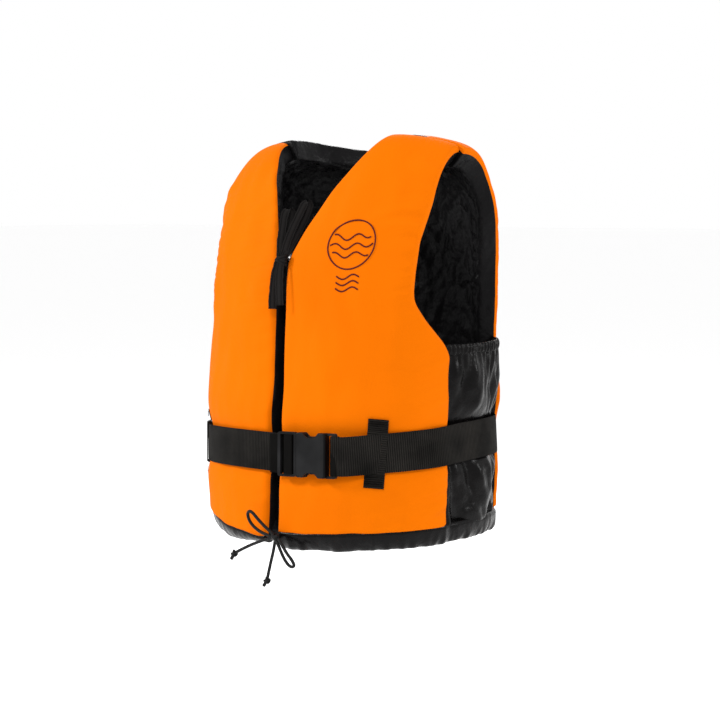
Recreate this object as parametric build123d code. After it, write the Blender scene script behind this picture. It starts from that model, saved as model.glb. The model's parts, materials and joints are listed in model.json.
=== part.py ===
from build123d import *
import math
import os

# Buoyancy vest, mm. The front faces -Y, the wearer's left is +X and up is +Z. Every solid is
# built with the hem at z = 0 and moved once, in write(), so that the row's origin lies
# between the shoulders, at the height where the vest rests on them.

# Body of the vest
CHEST_WIDTH = 400        # over the foam, side to side
CHEST_DEPTH = 308        # over the foam, front to back
LENGTH = 512             # hem to the top of the shoulders
ARCH_START = 300         # height where the panels begin to curve in to the shoulders
PLAN_POWER = 2.25        # roundness of the body seen from above: 2 is an ellipse
CROWN_POWER = 3.2        # roundness of the shoulders seen from the front
FRONT_POWER = 1.7        # roundness of the chest seen from the side
BACK_POWER = 2.6         # roundness of the upper back seen from the side
SHOULDER_Y = -38         # the shoulder seams lie a little in front of the middle
FRONT_LEAN = 18          # how far the front stands out at the hem
WALL = 28                # cover, foam and lining together
CLOTH = 1.2              # cover or lining, drawn thicker than the real fabric
CLEARANCE = 0.3          # between layers, and between pieces of different bodies

# Outlines of the panels, measured across the outer face
ZIP_EDGE_X = 11          # half the gap between the front panels, at their outer face
ZIP_EDGE_SLANT = 5       # how much nearer the centre the panels come at the lining
V_HEIGHT = 358           # height where the V neck starts
NECK_X = 84              # half the neck opening at the shoulder seams
NAPE_Y = 62              # back of the neck opening
SIDE_SEAM_X = 192        # front panel's side seam, below the arm opening
ARM_X = 165              # front panel's edge at the arm opening
STRAP_X = 160            # outer edge of the shoulders
BACK_SEAM_X = 150        # back panel's side seam

# Side panels, elastic and hem
SIDE_DEPTH = 8           # how far the side panels lie inside the outer face
SIDE_CLOTH = 2.0
SIDE_TOP = 243
ELASTIC_HEIGHT = 10
ELASTIC_THICKNESS = 6
HEM_HEIGHT = 16
HEM_DEPTH = 5            # how far the hem lies inside the outer face
HEM_THICKNESS = 12

# Zip
ZIP_DEPTH = 22           # how far the zip lies inside the outer face
ZIP_TOP = 305
ZIP_FOOT = 12            # the bottom stop stands this far above the hem tunnel
STOP_LENGTH = 4
TAPE_X = 6.0             # half the width over both tapes
TAPE_THICKNESS = 0.8
COIL_GAP = 1.0           # half the space between the coils, which the slider's web needs
COIL_WIDTH = 1.6
COIL_THICKNESS = 2.2
SLIDER_WIDTH = 8.4
SLIDER_LENGTH = 12
SLIDER_PLATE = 1.2
PULL_LENGTH = 24
PULL_WIDTH = 5
PULL_THICKNESS = 1.6
PIN_RADIUS = 0.8

# Belt and its keepers
BELT_WIDTH = 48
BELT_THICKNESS = 1.8
BELT_HEIGHT = 121        # mean height of the belt's centre line
BELT_SIDE_RISE = 12      # higher on the wearer's left, lower on the right
BELT_FRONT_DROP = 2      # lower in front than behind
KEEPER_WIDTH = 25
KEEPER_LENGTH = 84
KEEPER_THICKNESS = 1.4
KEEPER_PLACES = {        # station round the body, as x across the outer face, front or back
    "belt_keeper_front_left": (133, True),
    "belt_keeper_front_right": (-166, True),
    "belt_keeper_back_left": (80, False),
    "belt_keeper_back_right": (-80, False),
}

# Side-release buckle, in its own frame: u along the belt to the wearer's left, w up, n outwards.
# u = 0 is the mouth of the socket.
BUCKLE_X = 40            # where the mouth lies across the front
BUCKLE_STANDOFF = 7.5    # from the panel's face to the buckle's middle plane
BUCKLE_EAR = 3           # outside the webbing's slots
SLOT_HALF_WIDTH = BELT_WIDTH / 2 + 0.5
BUCKLE_HALF_WIDTH = SLOT_HALF_WIDTH + BUCKLE_EAR
SOCKET_LENGTH = 42
SOCKET_HALF_THICKNESS = 6.5
CAVITY_LENGTH = 36
SOCKET_WALL = 5.5
CAVITY_HALF_WIDTH = BUCKLE_HALF_WIDTH - SOCKET_WALL
CAVITY_HALF_THICKNESS = 4.4
WINDOW_START = 11
WINDOW_END = 30
NOTCH_RADIUS = 13
NOTCH_CENTRE = (21, BUCKLE_HALF_WIDTH + 6.5)
BAR_HALF_THICKNESS = 2.5
TAIL_SLOT = 8
TAIL_BAR = 5
PLUG_BLOCK = 3
PLUG_INNER_SLOT = 3
PLUG_CENTRE_BAR = 8
PLUG_OUTER_SLOT = 8
PLUG_OUTER_BAR = 4
TONGUE_LENGTH = 14
ARM_PIVOT = (2, CAVITY_HALF_WIDTH - 7)
ARM_KNUCKLE = 3
ARM_END = 28
ARM_HEAD_START = 16      # the catch faces the window's edge across WINDOW_START
ARM_HALF_THICKNESS = 3.6
CATCH = 0.8              # how far the catch stands over the cavity's wall

# Cords
DRAWCORD_DIAMETER = 4
TIE_THICKNESS = 2.6        # of the plain solid that stands for the flat tape

HALF_WIDTH = CHEST_WIDTH / 2
HALF_DEPTH = CHEST_DEPTH / 2
REST_HEIGHT = LENGTH - WALL
ORIGIN = Location((0, -SHOULDER_Y, -REST_HEIGHT))

os.makedirs("parts", exist_ok=True)


def write(name, *solids):
    """Puts a node in the row's frame and writes it."""
    placed = [ORIGIN * solid for solid in solids]
    export_step(placed[0] if len(placed) == 1 else Compound(children=placed), f"parts/{name}.step")


def angle_at(x):
    """Station round the body, in degrees from the front centre, for an x on the outer face."""
    share = min(abs(x) / HALF_WIDTH, 1)
    return math.copysign(math.degrees(math.asin(share ** (PLAN_POWER / 2))), x)


def body(angle, level, inset=0.0):
    """A point inset below the outer face. level 0 is the hem, 1 the start of the shoulder
    curve and 2 the shoulder seam; angle is 0 in front and 180 behind."""
    turn = math.radians(angle)
    across = abs(math.sin(turn)) ** (2 / PLAN_POWER)
    deep = abs(math.cos(turn)) ** (2 / PLAN_POWER)
    x = math.copysign((HALF_WIDTH - inset) * across, math.sin(turn))
    side = -1 if math.cos(turn) > 0 else 1
    depth = (HALF_DEPTH - inset) * deep
    if level <= 1:
        lean = FRONT_LEAN * (1 - level) * deep if side < 0 else 0
        return Vector(x, side * (depth + lean), level * ARCH_START)
    crown = (LENGTH - inset - ARCH_START) * (1 - across ** CROWN_POWER) ** (1 / CROWN_POWER)
    reach = depth - side * SHOULDER_Y
    power = FRONT_POWER if side < 0 else BACK_POWER
    climb = math.radians(90 * (level - 1))
    along, up = math.cos(climb) / reach, math.sin(climb) / crown
    ray = (abs(along) ** power + abs(up) ** power) ** (-1 / power)
    return Vector(x, SHOULDER_Y + side * ray * math.cos(climb), ARCH_START + ray * math.sin(climb))


def ease(share):
    """0 to 1 with level ends."""
    return (1 - math.cos(math.pi * min(max(share, 0), 1))) / 2


def level_at(height):
    """The station whose outer face has this height at the front centre."""
    low, high = 0.0, 2.0
    for _ in range(40):
        half = (low + high) / 2
        low, high = (half, high) if body(0, half).Z < height else (low, half)
    return low


def neck_edge(level):
    """x of the front panels' inner edge: the zip gap, then the straight sides of the V neck."""
    climb = max(body(0, level).Z - V_HEIGHT, 0) / (LENGTH - V_HEIGHT)
    return ZIP_EDGE_X + (NECK_X - ZIP_EDGE_X) * climb


def front_arm_edge(level):
    """x of the front panels' outer edge: the side seam, then the arm opening."""
    arm = ARM_X + (STRAP_X - ARM_X) * ease((level - 1.1) / 0.9)
    return SIDE_SEAM_X + (arm - SIDE_SEAM_X) * ease((level - 0.8) / 0.3)


def back_arm_edge(level):
    """x of the back panel's edge: the side seam, then the arm opening."""
    return BACK_SEAM_X + (STRAP_X - BACK_SEAM_X) * ease((level - 1) / 0.6)


def section(level, start, end, outer, inner, samples=7):
    """A closed band of the body at one level. start and end give the angle at an inset."""
    def curve(inset):
        low, high = start(inset), end(inset)
        points = [body(low + (high - low) * k / (samples - 1), level, inset)
                  for k in range(samples)]
        return points
    face, back = curve(outer), curve(inner)
    edges = [Spline(*face), Line(face[-1], back[-1]), Spline(*back[::-1]), Line(back[0], face[0])]
    return make_face(Wire(edges))


def layer(levels, start, end, outer, inner, samples=7):
    """A solid through the bands at the given levels."""
    bands = [section(level, start(level), end(level), outer, inner, samples) for level in levels]
    return loft(bands, ruled=True)


def fixed(angle):
    """The same angle at every inset."""
    return lambda inset: angle


def mirrored(solid):
    return mirror(solid, about=Plane.YZ)


# Front and back panels: cover, foam and lining
HEM_LEVEL = HEM_HEIGHT / ARCH_START
V_LEVEL = level_at(V_HEIGHT)
FRONT_LEVELS = [HEM_LEVEL, 0.4, 0.8, 0.86, 0.92, 0.98, 1.04, 1.1, 1.2, V_LEVEL, 1.4, 1.5, 1.6,
                1.7, 1.8, 1.9, 2]
BACK_LEVELS = [HEM_LEVEL, 0.5, 1, 1.1, 1.2, 1.3, 1.4, 1.5, 1.6, 1.7, 1.8, 1.9, 2]
LAYERS = {
    "cover": (0, CLOTH),
    "foam": (CLOTH + CLEARANCE, WALL - CLOTH - CLEARANCE),
    "lining": (WALL - CLOTH, WALL),
}


def front_start(level):
    return lambda inset: angle_at(neck_edge(level) - ZIP_EDGE_SLANT * inset / WALL)


def front_end(level):
    return fixed(angle_at(front_arm_edge(level)))


def back_start(level):
    return fixed(180 - angle_at(back_arm_edge(level)))


def back_end(level):
    return fixed(180 + angle_at(back_arm_edge(level)))


neck_cut = extrude(Pos(0, SHOULDER_Y, ARCH_START) * Ellipse(NECK_X, NAPE_Y - SHOULDER_Y),
                   LENGTH - ARCH_START + WALL)
for kind, (outer, inner) in LAYERS.items():
    left = layer(FRONT_LEVELS, front_start, front_end, outer, inner)
    write(f"front_left_{kind}", left)
    write(f"front_right_{kind}", mirrored(left))
    back = layer(BACK_LEVELS, back_start, back_end, outer, inner, samples=11)
    write(f"back_{kind}", back - neck_cut)


# Side panels of gathered nylon, with an elastic edge at the top
def around_side(level):
    return fixed(angle_at(SIDE_SEAM_X) + 0.15)


def around_side_end(level):
    return fixed(180 - angle_at(BACK_SEAM_X) - 0.15)


side_levels = [HEM_LEVEL, 0.4, SIDE_TOP / ARCH_START]
elastic_levels = [SIDE_TOP / ARCH_START, (SIDE_TOP + ELASTIC_HEIGHT) / ARCH_START]
side_panel = layer(side_levels, around_side, around_side_end, SIDE_DEPTH,
                   SIDE_DEPTH + SIDE_CLOTH)
middle = SIDE_DEPTH + SIDE_CLOTH / 2
side_elastic = layer(elastic_levels, around_side, around_side_end,
                     middle - ELASTIC_THICKNESS / 2, middle + ELASTIC_THICKNESS / 2)
write("left_side_panel", side_panel)
write("right_side_panel", mirrored(side_panel))
write("left_side_elastic", side_elastic)
write("right_side_elastic", mirrored(side_elastic))

# Hem tunnel, in five lengths that meet at the seams
hem_levels = [0, HEM_LEVEL]
hem = (HEM_DEPTH, HEM_DEPTH + HEM_THICKNESS)
front_hem = layer(hem_levels, front_start, front_end, *hem)
side_hem = layer(hem_levels, lambda level: fixed(angle_at(SIDE_SEAM_X)),
                 lambda level: fixed(180 - angle_at(BACK_SEAM_X)), *hem)
write("front_left_hem", front_hem)
write("front_right_hem", mirrored(front_hem))
write("left_side_hem", side_hem)
write("right_side_hem", mirrored(side_hem))
write("back_hem", layer(hem_levels, back_start, back_end, *hem, samples=11))

# Zip, in its own frame: x across, y up along the zip, z outwards
zip_foot = body(0, HEM_LEVEL, ZIP_DEPTH)
zip_head = body(0, 1, ZIP_DEPTH)
zip_up = (zip_head - zip_foot).normalized()
zip_plane = Plane(origin=zip_foot, x_dir=(1, 0, 0), z_dir=Vector(1, 0, 0).cross(zip_up))
zip_length = (ZIP_TOP - HEM_HEIGHT) / zip_up.Z
stop_top = ZIP_FOOT + STOP_LENGTH
slider_rest = zip_length - STOP_LENGTH - SLIDER_LENGTH / 2


def zip_box(low_x, high_x, low_y, high_y, low_z, high_z):
    size = (high_x - low_x, high_y - low_y, high_z - low_z)
    centre = ((low_x + high_x) / 2, (low_y + high_y) / 2, (low_z + high_z) / 2)
    return Pos(*centre) * Box(*size)


coil_edge = COIL_GAP + COIL_WIDTH
tape = zip_box(coil_edge, TAPE_X, 0, zip_length, -TAPE_THICKNESS / 2, TAPE_THICKNESS / 2)
coil = zip_box(COIL_GAP, coil_edge, stop_top, zip_length - STOP_LENGTH,
               -COIL_THICKNESS / 2, COIL_THICKNESS / 2)
top_stop = zip_box(COIL_GAP, coil_edge, zip_length - STOP_LENGTH, zip_length,
                   -COIL_THICKNESS / 2, COIL_THICKNESS / 2)
for side, solid in (("left", lambda part: part), ("right", mirrored)):
    write(f"zip_tape_{side}", zip_plane.location * solid(tape))
    write(f"zip_coil_{side}", zip_plane.location * solid(coil))
write("zip_top_stops", zip_plane.location * top_stop, zip_plane.location * mirrored(top_stop))
write("zip_bottom_stop", zip_plane.location * zip_box(
    -coil_edge, coil_edge, ZIP_FOOT, stop_top, -COIL_THICKNESS / 2, COIL_THICKNESS / 2))

plate_low = COIL_THICKNESS / 2 + CLEARANCE
plate_high = plate_low + SLIDER_PLATE
half_slider = SLIDER_LENGTH / 2
web = COIL_GAP - CLEARANCE
front_plate = zip_box(-SLIDER_WIDTH / 2, SLIDER_WIDTH / 2, -half_slider, half_slider,
                      plate_low, plate_high)
back_plate = zip_box(-SLIDER_WIDTH / 2, SLIDER_WIDTH / 2, -half_slider, half_slider,
                     -plate_high, -plate_low)
slider_web = zip_box(-web, web, -1, half_slider, -plate_low, plate_low)
slider = front_plate + back_plate + slider_web
slider = fillet(slider.edges().filter_by(Axis.Z).filter_by(
    lambda edge: abs(edge.center().X) > 2), 1.6)
pin_height = plate_high + 1.6
pin_y = 2
cheek_x = PULL_WIDTH / 4
for side in (-1, 1):
    low, high = sorted((side * (cheek_x + CLEARANCE), side * (cheek_x + CLEARANCE + 0.9)))
    slider += zip_box(low, high, pin_y - 1.5, pin_y + 1.5, plate_high, pin_height + 1.3)
pin = Pos(0, pin_y, pin_height) * Rot(0, 90, 0) * Cylinder(PIN_RADIUS, 2 * cheek_x + 2)
slider += pin
eye = Pos(0, pin_y, pin_height) * Rot(0, 90, 0) * Cylinder(PULL_THICKNESS, 2 * cheek_x)
eye -= Pos(0, pin_y, pin_height) * Rot(0, 90, 0) * Cylinder(PIN_RADIUS + 0.1, 20)
neck_length = 3
tab_low = pin_y - PULL_LENGTH
pull_z = (pin_height - PULL_THICKNESS / 2, pin_height + PULL_THICKNESS / 2)
neck = zip_box(-cheek_x, cheek_x, pin_y - neck_length - 1, pin_y - PIN_RADIUS - 0.2, *pull_z)
tab = zip_box(-PULL_WIDTH / 2, PULL_WIDTH / 2, tab_low, pin_y - neck_length, *pull_z)
tab = fillet(tab.edges().filter_by(Axis.Z), 1.5)
pull = eye + neck + tab
at_slider = zip_plane.location * Pos(0, slider_rest, 0)
write("zip_slider", at_slider * slider)
write("zip_pull", at_slider * pull)
slider_travel = slider_rest - stop_top - half_slider


# Waist belt: a band round the body that stands just off the panels
def belt_height(angle):
    turn = math.radians(angle)
    sideways = math.sin(turn) * abs(math.sin(turn))
    return BELT_HEIGHT + BELT_SIDE_RISE * sideways - BELT_FRONT_DROP * math.cos(turn)


def belt_section(angle, lift=0.0):
    """The belt's rectangle where it crosses one station round the body."""
    height = belt_height(angle)
    low = (height - BELT_WIDTH / 2) / ARCH_START
    high = (height + BELT_WIDTH / 2) / ARCH_START
    near = CLEARANCE + 0.7 + lift
    far = near + BELT_THICKNESS
    outwards = (body(angle, low, -far) - body(angle, low, -near)).normalized() * BELT_THICKNESS
    foot, head = body(angle, low, -near), body(angle, high, -near)
    return make_face(Polyline(foot, head, head + outwards, foot + outwards, close=True))


socket_tail = SOCKET_LENGTH + TAIL_SLOT + TAIL_BAR
buckle_angle = angle_at(BUCKLE_X + SOCKET_LENGTH / 4)
buckle_level = belt_height(buckle_angle) / ARCH_START
touch = body(buckle_angle, buckle_level)
across = (body(buckle_angle + 1, buckle_level) - body(buckle_angle - 1, buckle_level))
across = (across + Vector(0, 0, belt_height(buckle_angle + 1) - belt_height(buckle_angle - 1)))
across = across.normalized()
upwards = body(buckle_angle, buckle_level + 0.1) - body(buckle_angle, buckle_level - 0.1)
outward = across.cross(upwards).normalized()
mouth = touch + outward * BUCKLE_STANDOFF - across * (SOCKET_LENGTH / 4)
buckle = Plane(origin=mouth, x_dir=across, z_dir=outward).location

# The belt starts at the socket's bar, goes round the wearer's left, the back and the right, and
# ends under the plug.
belt_start = angle_at(BUCKLE_X + socket_tail + 1)
belt_end = 360 + angle_at(BUCKLE_X - PLUG_BLOCK - PLUG_INNER_SLOT - PLUG_CENTRE_BAR)
LIFT_SPAN = 8            # degrees over which the belt comes down from the socket's bar
BELT_STATIONS = 72
start_lift = BUCKLE_STANDOFF - BAR_HALF_THICKNESS - BELT_THICKNESS - CLEARANCE
stations = [belt_start + (belt_end - belt_start) * k / BELT_STATIONS
            for k in range(BELT_STATIONS + 1)]
belt = loft([belt_section(angle, start_lift * (1 - ease((angle - belt_start) / LIFT_SPAN)))
             for angle in stations], ruled=True)


def webbing_loop(low_u, high_u, clearance=CLEARANCE):
    """Webbing once round a bar of the buckle."""
    def block(grow):
        return (high_u - low_u + 2 * grow, BELT_WIDTH, 2 * (BAR_HALF_THICKNESS + grow))
    centre = Pos((low_u + high_u) / 2, 0, 0)
    outer = Box(*block(clearance + BELT_THICKNESS))
    outer = fillet(outer.edges().filter_by(Axis.Y), BELT_THICKNESS)
    length, _, thickness = block(clearance)
    return centre * (outer - Box(length, BELT_WIDTH + 2, thickness))


write("waist_belt", belt)
write("belt_socket_loop", buckle * webbing_loop(SOCKET_LENGTH + TAIL_SLOT, socket_tail))

KEEPER_FOOT = 12         # stitched end of a keeper, above and below the belt
keeper_rise = CLEARANCE + 0.7 + BELT_THICKNESS + CLEARANCE
for name, (x, in_front) in KEEPER_PLACES.items():
    angle = angle_at(x) if in_front else 180 - angle_at(x)
    level = belt_height(angle) / ARCH_START
    foot = body(angle, level)
    aside = (body(angle + 1, level) - body(angle - 1, level)).normalized()
    up = (body(angle, level + 0.1) - body(angle, level - 0.1)).normalized()
    plane = Plane(origin=foot, x_dir=aside, z_dir=aside.cross(up))
    half, inner_half = KEEPER_LENGTH / 2, BELT_WIDTH / 2 + 1.5
    low, top = CLEARANCE, keeper_rise + KEEPER_THICKNESS
    foot_half = half - KEEPER_FOOT
    outline = [(-half, low), (-foot_half, low), (-inner_half, keeper_rise),
               (inner_half, keeper_rise), (foot_half, low), (half, low),
               (half, low + KEEPER_THICKNESS), (foot_half, low + KEEPER_THICKNESS),
               (inner_half, top), (-inner_half, top), (-foot_half, low + KEEPER_THICKNESS),
               (-half, low + KEEPER_THICKNESS)]
    profile = make_face(Polyline(*[(0, y, z) for y, z in outline], close=True))
    keeper = extrude(profile, KEEPER_WIDTH / 2, dir=(1, 0, 0), both=True)
    write(name, plane.location * keeper)


# Buckle
def bar(low_u, high_u, half_w, half_n, low_w=None):
    """A block between two distances along the belt; low_w leaves out the middle."""
    low = -half_w if low_w is None else low_w
    return Pos((low_u + high_u) / 2, (low + half_w) / 2, 0) * Box(
        high_u - low_u, half_w - low, 2 * half_n)


def both_edges(solid):
    """The solid and its mirror image across the belt's centre line."""
    return solid + mirror(solid, about=Plane.XZ)


shell = bar(0, SOCKET_LENGTH, BUCKLE_HALF_WIDTH, SOCKET_HALF_THICKNESS)
shell = fillet(shell.edges().filter_by(Axis.Z), 3)
shell = fillet(shell.faces().filter_by(Axis.Z).edges(), 2)
shell -= bar(-1, CAVITY_LENGTH, CAVITY_HALF_WIDTH, CAVITY_HALF_THICKNESS)
shell -= both_edges(bar(WINDOW_START, WINDOW_END, BUCKLE_HALF_WIDTH + 1, CAVITY_HALF_THICKNESS,
                        low_w=CAVITY_HALF_WIDTH - 1))
notch_u, notch_w = NOTCH_CENTRE
shell -= both_edges(Pos(notch_u, notch_w, 0) * Cylinder(NOTCH_RADIUS,
                                                        2 * SOCKET_HALF_THICKNESS + 1))
tail = bar(SOCKET_LENGTH - 2, socket_tail, BUCKLE_HALF_WIDTH, BAR_HALF_THICKNESS)
tail = fillet(tail.edges().filter_by(Axis.Z), 3)
tail -= bar(SOCKET_LENGTH, SOCKET_LENGTH + TAIL_SLOT, SLOT_HALF_WIDTH, BAR_HALF_THICKNESS + 1)
write("buckle_socket", buckle * (shell + tail))

face_u = -CLEARANCE - 1
block_u = face_u - PLUG_BLOCK
centre_bar = (block_u - PLUG_INNER_SLOT - PLUG_CENTRE_BAR, block_u - PLUG_INNER_SLOT)
outer_bar_u = centre_bar[0] - PLUG_OUTER_SLOT
plug = bar(outer_bar_u - PLUG_OUTER_BAR, face_u, BUCKLE_HALF_WIDTH, BAR_HALF_THICKNESS)
plug = fillet(plug.edges().filter_by(Axis.Z), 3)
plug -= bar(centre_bar[1], block_u, SLOT_HALF_WIDTH, BAR_HALF_THICKNESS + 1)
plug -= bar(outer_bar_u, centre_bar[0], SLOT_HALF_WIDTH, BAR_HALF_THICKNESS + 1)
plug += bar(face_u - 1, TONGUE_LENGTH, 2.5, 2.4)
write("buckle_plug", buckle * plug)

FOLD_REACH = 14          # the turned-back webbing reaches this far past the outer bar
fold_low = BAR_HALF_THICKNESS + CLEARANCE
fold = webbing_loop(*centre_bar)
fold += Pos((outer_bar_u - PLUG_OUTER_BAR - FOLD_REACH + centre_bar[0]) / 2, 0,
            -fold_low - BELT_THICKNESS / 2) * Box(
    centre_bar[0] - outer_bar_u + PLUG_OUTER_BAR + FOLD_REACH, BELT_WIDTH, BELT_THICKNESS)
write("belt_fold", buckle * fold)

pivot_u, pivot_w = ARM_PIVOT
catch_w = CAVITY_HALF_WIDTH + CATCH
inner_w, outer_w = pivot_w - 2, pivot_w + ARM_KNUCKLE
HEAD_SLOPE = 4
arm = extrude(make_face(Polyline(
    (pivot_u, inner_w), (pivot_u, outer_w), (ARM_HEAD_START, outer_w), (ARM_HEAD_START, catch_w),
    (ARM_END - HEAD_SLOPE, catch_w), (ARM_END, outer_w), (ARM_END, inner_w), close=True)),
    ARM_HALF_THICKNESS, both=True)
arm += Pos(pivot_u, pivot_w, 0) * Cylinder(ARM_KNUCKLE, 2 * ARM_HALF_THICKNESS)
write("buckle_arm_upper", buckle * arm)
write("buckle_arm_lower", buckle * mirror(arm, about=Plane.XZ))


# Cords
def tube(points, diameter):
    """A round tube along straight runs and the largest arcs that they allow."""
    corners = [Vector(*point) for point in points]
    radii = []
    for before, here, after in zip(corners, corners[1:], corners[2:]):
        turn = (here - before).get_angle(after - here)
        shorter = min((here - before).length, (after - here).length)
        radii.append(0.45 * shorter / math.tan(math.radians(turn / 2)))
    path = FilletPolyline(*corners, radius=radii)
    solid = sweep(Plane(origin=path @ 0, z_dir=path % 0) * Circle(diameter / 2), path=path)
    expected = math.pi * diameter ** 2 / 4 * path.length
    print(f"  tube {path.length:.0f} mm, volume {solid.volume / expected:.3f} of its section times"
          f" its length, radii", ", ".join(f"{radius:.1f}" for radius in radii))
    return solid


TIE_KNOT = (3, -153, 357)
TIES = {
    "neck_tie_right": [
        [(-8.5, -141, 353), (-5, -146, 354), (-1, -151, 356)],
        [(-2.5, -151, 361), (-6, -145, 376), (-10, -132, 397), (-12, -124, 410),
         (-10, -119, 418), (-4, -119, 417), (-2, -126, 406), (-2, -138, 386), (0.5, -149, 364)],
        [(0.5, -155, 353), (-1, -161, 341), (-4, -163, 320), (-5, -162, 298)]],
    "neck_tie_left": [
        [(8.5, -141, 353), (7.5, -146, 354), (5, -151, 356)],
        [(4.5, -149, 364), (7, -141, 382), (12, -129, 403), (16, -121, 418), (19, -116, 426),
         (25, -116, 425), (24, -123, 414), (17, -135, 392), (9, -149, 365)],
        [(5.5, -155, 353), (7, -161, 343), (9, -163, 323), (12, -162, 303)]],
}
for name, routes in TIES.items():
    print(name)
    write(name, *[tube(route, TIE_THICKNESS) for route in routes])
knot = Pos(*TIE_KNOT) * Box(15, 9, 12)
write("neck_tie_knot", fillet(knot.edges(), 3))

BOW_KNOT = (12, -179, 17)
DRAWCORDS = {
    "drawcord_right": [
        [(-7.8, -161, 8), (-4.5, -162.5, 8), (-2, -168, 9.5), (3, -174, 12.5), (8, -178, 16)],
        [(10, -180, 20), (1, -184, 32), (-11, -185, 42), (-20, -184, 44), (-24, -182, 38),
         (-19, -181, 28), (-8, -181, 20), (7, -180, 16)],
        [(8, -179, 14), (-10, -181, 8), (-33, -182, -2), (-54, -181, -13)]],
    "drawcord_left": [
        [(7.8, -161.5, 8), (4.5, -163, 8), (5, -169, 8.5), (9, -175, 11), (13, -178, 14)],
        [(15, -179, 16), (24, -181, 8), (33, -182, -2), (41, -182, -9), (46, -182, -16),
         (40, -182, -19), (31, -183, -12), (15, -180, 11)],
        [(12, -179, 12), (11, -181, -2), (6, -181, -18), (1, -182, -40)]],
}
DRAWCORD_ENDS = {
    "drawcord_end_right": ((-54, -181, -13), (-6, 0.5, -9)),
    "drawcord_end_left": ((1, -182, -40), (-6, 0.5, -8)),
}
for name, routes in DRAWCORDS.items():
    print(name)
    write(name, *[tube(route, DRAWCORD_DIAMETER) for route in routes])
knot = Pos(*BOW_KNOT) * Box(12, 9, 11)
write("drawcord_bow", fillet(knot.edges(), 3))
for name, (place, beyond) in DRAWCORD_ENDS.items():
    ball = Pos(*place) * Sphere(4)
    tip_plane = Plane(origin=place, z_dir=beyond)
    tip = tip_plane.location * Pos(0, 0, Vector(*beyond).length / 2) * Cylinder(
        DRAWCORD_DIAMETER / 2 + 0.3, Vector(*beyond).length)
    write(name, ball + tip)


def in_row(point):
    """A point of the model in the row's frame, mm."""
    moved = point - Vector(0, SHOULDER_Y, REST_HEIGHT)
    return tuple(round(value, 3) for value in (moved.X, moved.Y, moved.Z))


def direction(vector):
    return tuple(round(value, 6) for value in (vector.X, vector.Y, vector.Z))


buckle_frame = Plane(buckle)
slider_place = Plane(at_slider)
print("buckle mouth", in_row(buckle_frame.origin), "along", direction(buckle_frame.x_dir),
      "outwards", direction(buckle_frame.z_dir))
for sign in (1, -1):
    pivot = buckle_frame.origin + buckle_frame.x_dir * pivot_u + buckle_frame.y_dir * pivot_w * sign
    print("arm pivot", in_row(pivot))
hinge = slider_place.origin + slider_place.y_dir * pin_y + slider_place.z_dir * pin_height
print("pull hinge", in_row(hinge), "zip up", direction(slider_place.y_dir),
      "slider travel", round(slider_travel, 2))
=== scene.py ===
import bpy
import bmesh
import json
import math
from mathutils import Matrix, Vector, noise


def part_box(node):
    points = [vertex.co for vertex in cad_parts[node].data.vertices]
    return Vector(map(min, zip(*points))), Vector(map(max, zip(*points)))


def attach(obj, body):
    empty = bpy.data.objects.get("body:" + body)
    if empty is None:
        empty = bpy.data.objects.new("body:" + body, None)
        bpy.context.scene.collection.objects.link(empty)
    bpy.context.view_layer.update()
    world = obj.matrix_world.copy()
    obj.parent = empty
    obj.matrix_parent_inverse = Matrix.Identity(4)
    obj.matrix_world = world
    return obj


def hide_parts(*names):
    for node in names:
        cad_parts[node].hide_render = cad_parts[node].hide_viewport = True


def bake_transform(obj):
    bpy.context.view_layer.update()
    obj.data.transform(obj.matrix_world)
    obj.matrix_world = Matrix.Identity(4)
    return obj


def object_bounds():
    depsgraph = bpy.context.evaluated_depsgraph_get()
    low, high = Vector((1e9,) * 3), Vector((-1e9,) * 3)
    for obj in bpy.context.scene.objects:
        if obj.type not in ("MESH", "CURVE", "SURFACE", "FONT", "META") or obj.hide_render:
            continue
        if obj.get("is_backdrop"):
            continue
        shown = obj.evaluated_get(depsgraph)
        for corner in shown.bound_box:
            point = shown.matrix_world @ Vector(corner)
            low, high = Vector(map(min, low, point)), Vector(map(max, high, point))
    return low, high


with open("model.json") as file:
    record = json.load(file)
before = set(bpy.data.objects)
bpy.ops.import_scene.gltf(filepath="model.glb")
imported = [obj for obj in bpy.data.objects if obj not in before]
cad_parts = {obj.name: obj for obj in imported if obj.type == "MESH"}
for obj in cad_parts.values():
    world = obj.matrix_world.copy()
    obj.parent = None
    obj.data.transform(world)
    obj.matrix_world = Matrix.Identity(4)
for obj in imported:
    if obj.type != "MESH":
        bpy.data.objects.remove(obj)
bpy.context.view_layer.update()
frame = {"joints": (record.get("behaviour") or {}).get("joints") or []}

# ---------------------------------------------------------------------------------------------
# Camera. It stands at chest height in front of the wearer's left, about two metres off, and
# looks slightly down.
CAMERA_TURN = math.radians(37.6)
CAMERA_DISTANCE = 2.2
CAMERA_PITCH = math.radians(5.15)
AIM = Vector((0.0065, 0.038, -0.064))

camera_data = bpy.data.cameras.new("camera")
camera_data.lens = 84.3
camera_data.sensor_width = 36
camera = bpy.data.objects.new("camera", camera_data)
bpy.context.scene.collection.objects.link(camera)
bpy.context.scene.camera = camera
back_off = Vector((math.sin(CAMERA_TURN), -math.cos(CAMERA_TURN), 0))
camera.location = AIM + back_off * CAMERA_DISTANCE
camera.rotation_euler = (math.pi / 2 - CAMERA_PITCH, 0, CAMERA_TURN)

# ---------------------------------------------------------------------------------------------
# Neck ties. Each is a flat ribbed tape sewn into the panel's edge at the bottom of the V neck;
# the two are tied in a bow whose loops stand up in the opening and whose tails hang in front
# of the zip.
HEM_TO_ORIGIN = Vector((0, 0.038, -0.484))    # heights below are given from the hem
TIE_WIDTH = 0.0105
TIE_THICKNESS = 0.0012
KNOT_WIDTH = 0.0078        # the tape is drawn narrow and thick in the knot
KNOT_THICKNESS = 0.0016


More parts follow.
